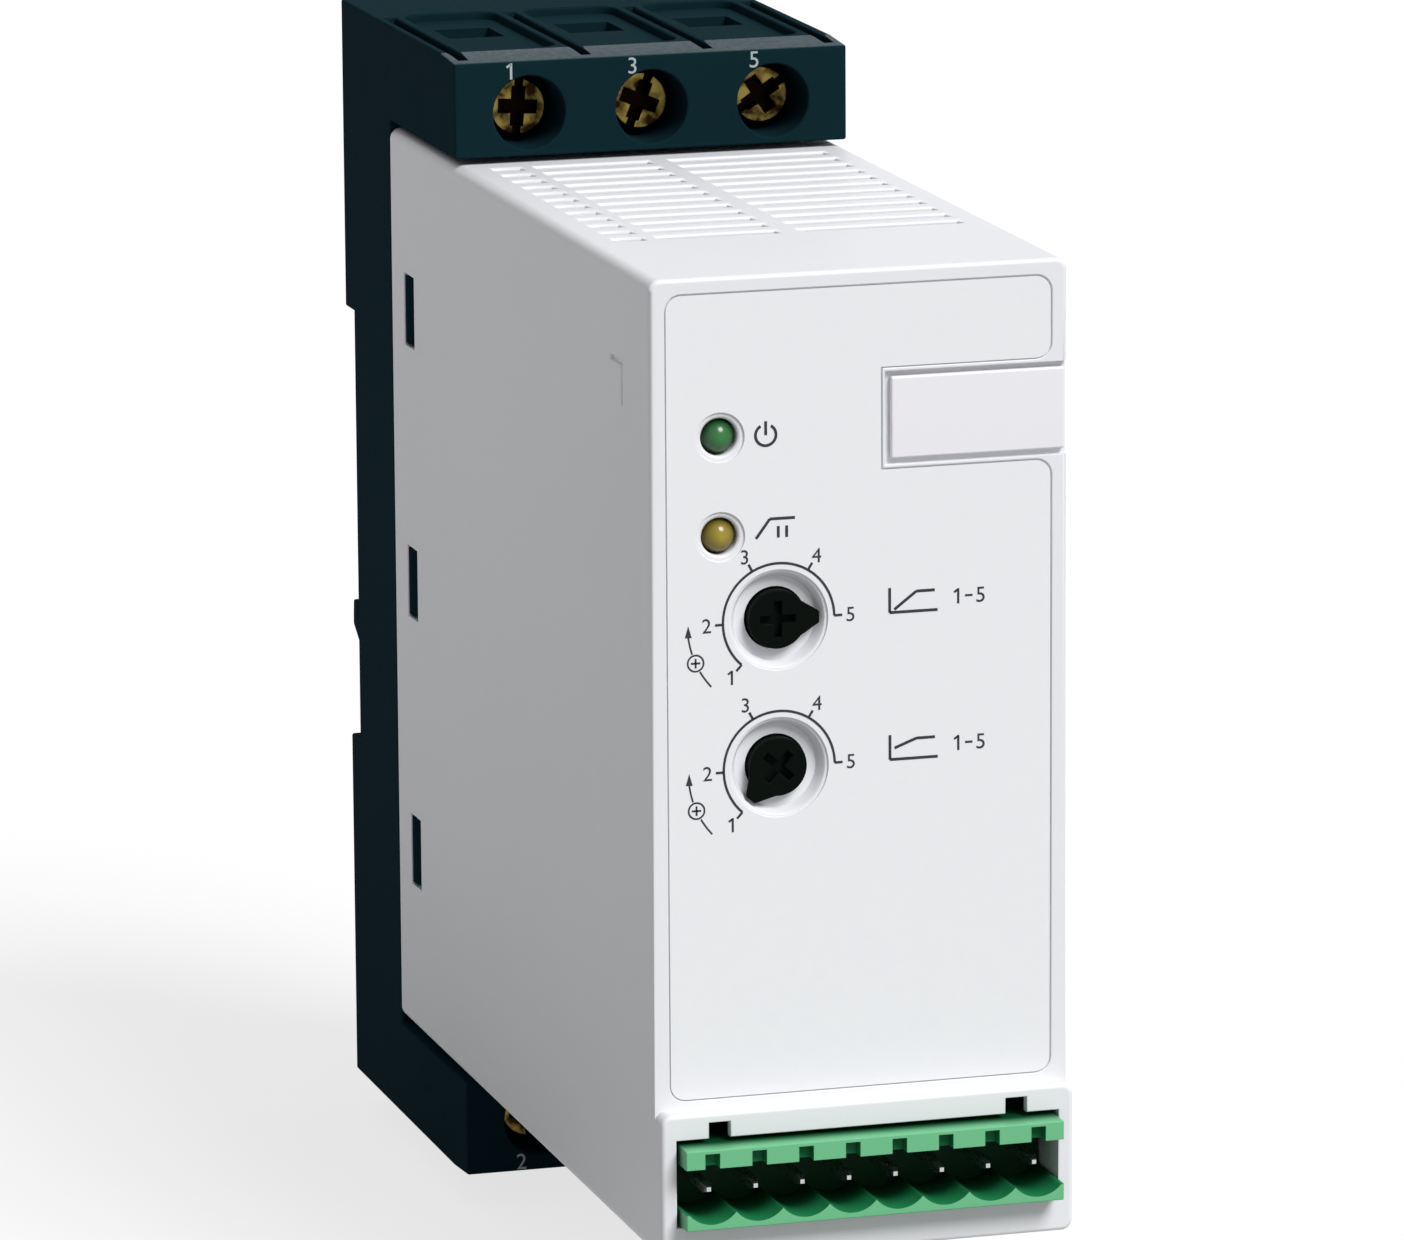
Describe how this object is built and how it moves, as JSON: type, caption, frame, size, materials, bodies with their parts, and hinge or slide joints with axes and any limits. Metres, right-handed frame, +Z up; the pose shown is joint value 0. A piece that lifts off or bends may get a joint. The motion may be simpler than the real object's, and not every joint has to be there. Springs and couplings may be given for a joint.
{
  "type": "soft starter",
  "caption": "Slim rail-mounted soft starter: dark base with terminal blocks, pale clip-on cover with lamps, pointer dials, marker plate and a plug-in control socket.",
  "frame": {"origin": "centre of the rail seat: on the plane that the rail's flanges rest against, half way up the rail", "axes": "+X to the right seen from the front, +Y to the back towards the rail, +Z up"},
  "size_m": [0.045, 0.1332, 0.127],
  "materials": {
    "base_dark": "moulded, fine texture",
    "cover_white": "moulded, fine texture",
    "label_film": "printed polyester film",
    "marker_white": "smooth",
    "lens_green": "tinted epoxy",
    "lens_yellow": "tinted epoxy",
    "knob_black": "moulded",
    "pot_blue": "moulded",
    "socket_green": "moulded",
    "pin_tin": "tin plated",
    "circuit_board": "solder mask",
    "component_black": "moulded epoxy",
    "transformer_tape": "wound tape",
    "capacitor_sleeve": "shrunk sleeve",
    "varistor_blue": "dipped epoxy",
    "ribbon_grey": "extruded",
    "plug_cream": "moulded",
    "heatsink_aluminium": "extruded",
    "standoff_brass": "turned",
    "screw_steel": "zinc plated",
    "spring_steel": "drawn wire",
    "bar_copper": "rolled copper",
    "cage_steel": "zinc plated",
    "screw_brass": "passivated"
  },
  "bodies": {
    "housing": {"base": "base_dark", "front_cover": "cover_white", "front_label": "label_film", "marker_plate": "marker_white", "power_led": "lens_green", "bypass_led": "lens_yellow", "start_time_pot": "pot_blue", "voltage_pot": "pot_blue", "control_header": "socket_green", "header_pins": "pin_tin", "control_board": "circuit_board", "power_board": "circuit_board", "control_chip": "component_black", "thyristor_a": "component_black", "thyristor_b": "component_black", "bypass_relay_a": "component_black", "bypass_relay_b": "component_black", "supply_transformer": "transformer_tape", "supply_capacitor": "capacitor_sleeve", "varistors": "varistor_blue", "ribbon_cable": "ribbon_grey", "ribbon_connectors": "plug_cream", "heatsink": "heatsink_aluminium", "standoffs": "standoff_brass", "control_board_screws": "screw_steel", "heatsink_screws": "screw_steel", "thyristor_screws": "screw_steel", "clip_spring": "spring_steel", "line_bar_1": "bar_copper", "line_bar_2": "bar_copper", "line_bar_3": "bar_copper", "load_bar_1": "bar_copper", "load_bar_2": "bar_copper", "load_bar_3": "bar_copper"},
    "start_time_knob": {"start_time_knob": "knob_black"},
    "voltage_knob": {"voltage_knob": "knob_black"},
    "rail_clip": {"rail_clip": "base_dark"},
    "line_cage_1": {"line_cage_1": "cage_steel"},
    "line_cage_2": {"line_cage_2": "cage_steel"},
    "line_cage_3": {"line_cage_3": "cage_steel"},
    "load_cage_1": {"load_cage_1": "cage_steel"},
    "load_cage_2": {"load_cage_2": "cage_steel"},
    "load_cage_3": {"load_cage_3": "cage_steel"},
    "line_screw_1": {"line_screw_1": "screw_brass"},
    "line_screw_2": {"line_screw_2": "screw_brass"},
    "line_screw_3": {"line_screw_3": "screw_brass"},
    "load_screw_1": {"load_screw_1": "screw_brass"},
    "load_screw_2": {"load_screw_2": "screw_brass"},
    "load_screw_3": {"load_screw_3": "screw_brass"}
  },
  "joints": [
    {"name": "start_time_turn", "type": "hinge", "parent": "housing", "child": "start_time_knob", "pos_m": [-0.0088, -0.124, 0.0065], "axis": [0, 1, 0], "range_deg": [-228, 0]},
    {"name": "voltage_turn", "type": "hinge", "parent": "housing", "child": "voltage_knob", "pos_m": [-0.0088, -0.124, -0.0091], "axis": [0, 1, 0], "range_deg": [0, 228]},
    {"name": "clip_slide", "type": "slide", "parent": "housing", "child": "rail_clip", "axis": [0, 0, -1], "range_m": [0, 0.0035], "stiffness_N_per_m": 1500, "springref_m": -0.003, "deforming": ["clip_spring"]},
    {"name": "line_screw_1_turn", "type": "hinge", "parent": "housing", "child": "line_screw_1", "pos_m": [-0.014, -0.042, 0.0483], "axis": [0, 1, 0], "range_deg": [0, 2160]},
    {"name": "line_cage_1_rise", "type": "slide", "parent": "housing", "child": "line_cage_1", "axis": [0, -1, 0], "range_m": [0, 0.0042]},
    {"name": "line_screw_2_turn", "type": "hinge", "parent": "housing", "child": "line_screw_2", "pos_m": [0, -0.042, 0.0483], "axis": [0, 1, 0], "range_deg": [0, 2160]},
    {"name": "line_cage_2_rise", "type": "slide", "parent": "housing", "child": "line_cage_2", "axis": [0, -1, 0], "range_m": [0, 0.0042]},
    {"name": "line_screw_3_turn", "type": "hinge", "parent": "housing", "child": "line_screw_3", "pos_m": [0.014, -0.042, 0.0483], "axis": [0, 1, 0], "range_deg": [0, 2160]},
    {"name": "line_cage_3_rise", "type": "slide", "parent": "housing", "child": "line_cage_3", "axis": [0, -1, 0], "range_m": [0, 0.0042]},
    {"name": "load_screw_1_turn", "type": "hinge", "parent": "housing", "child": "load_screw_1", "pos_m": [-0.014, -0.042, -0.0663], "axis": [0, 1, 0], "range_deg": [0, 2160]},
    {"name": "load_cage_1_rise", "type": "slide", "parent": "housing", "child": "load_cage_1", "axis": [0, -1, 0], "range_m": [0, 0.0042]},
    {"name": "load_screw_2_turn", "type": "hinge", "parent": "housing", "child": "load_screw_2", "pos_m": [0, -0.042, -0.0663], "axis": [0, 1, 0], "range_deg": [0, 2160]},
    {"name": "load_cage_2_rise", "type": "slide", "parent": "housing", "child": "load_cage_2", "axis": [0, -1, 0], "range_m": [0, 0.0042]},
    {"name": "load_screw_3_turn", "type": "hinge", "parent": "housing", "child": "load_screw_3", "pos_m": [0.014, -0.042, -0.0663], "axis": [0, 1, 0], "range_deg": [0, 2160]},
    {"name": "load_cage_3_rise", "type": "slide", "parent": "housing", "child": "load_cage_3", "axis": [0, -1, 0], "range_m": [0, 0.0042]}
  ],
  "couplings": [
    {"joint": "line_screw_1_turn", "follows": "line_cage_1_rise", "rad_per_m": 8975.9},
    {"joint": "line_screw_2_turn", "follows": "line_cage_2_rise", "rad_per_m": 8975.9},
    {"joint": "line_screw_3_turn", "follows": "line_cage_3_rise", "rad_per_m": 8975.9},
    {"joint": "load_screw_1_turn", "follows": "load_cage_1_rise", "rad_per_m": 8975.9},
    {"joint": "load_screw_2_turn", "follows": "load_cage_2_rise", "rad_per_m": 8975.9},
    {"joint": "load_screw_3_turn", "follows": "load_cage_3_rise", "rad_per_m": 8975.9}
  ]
}
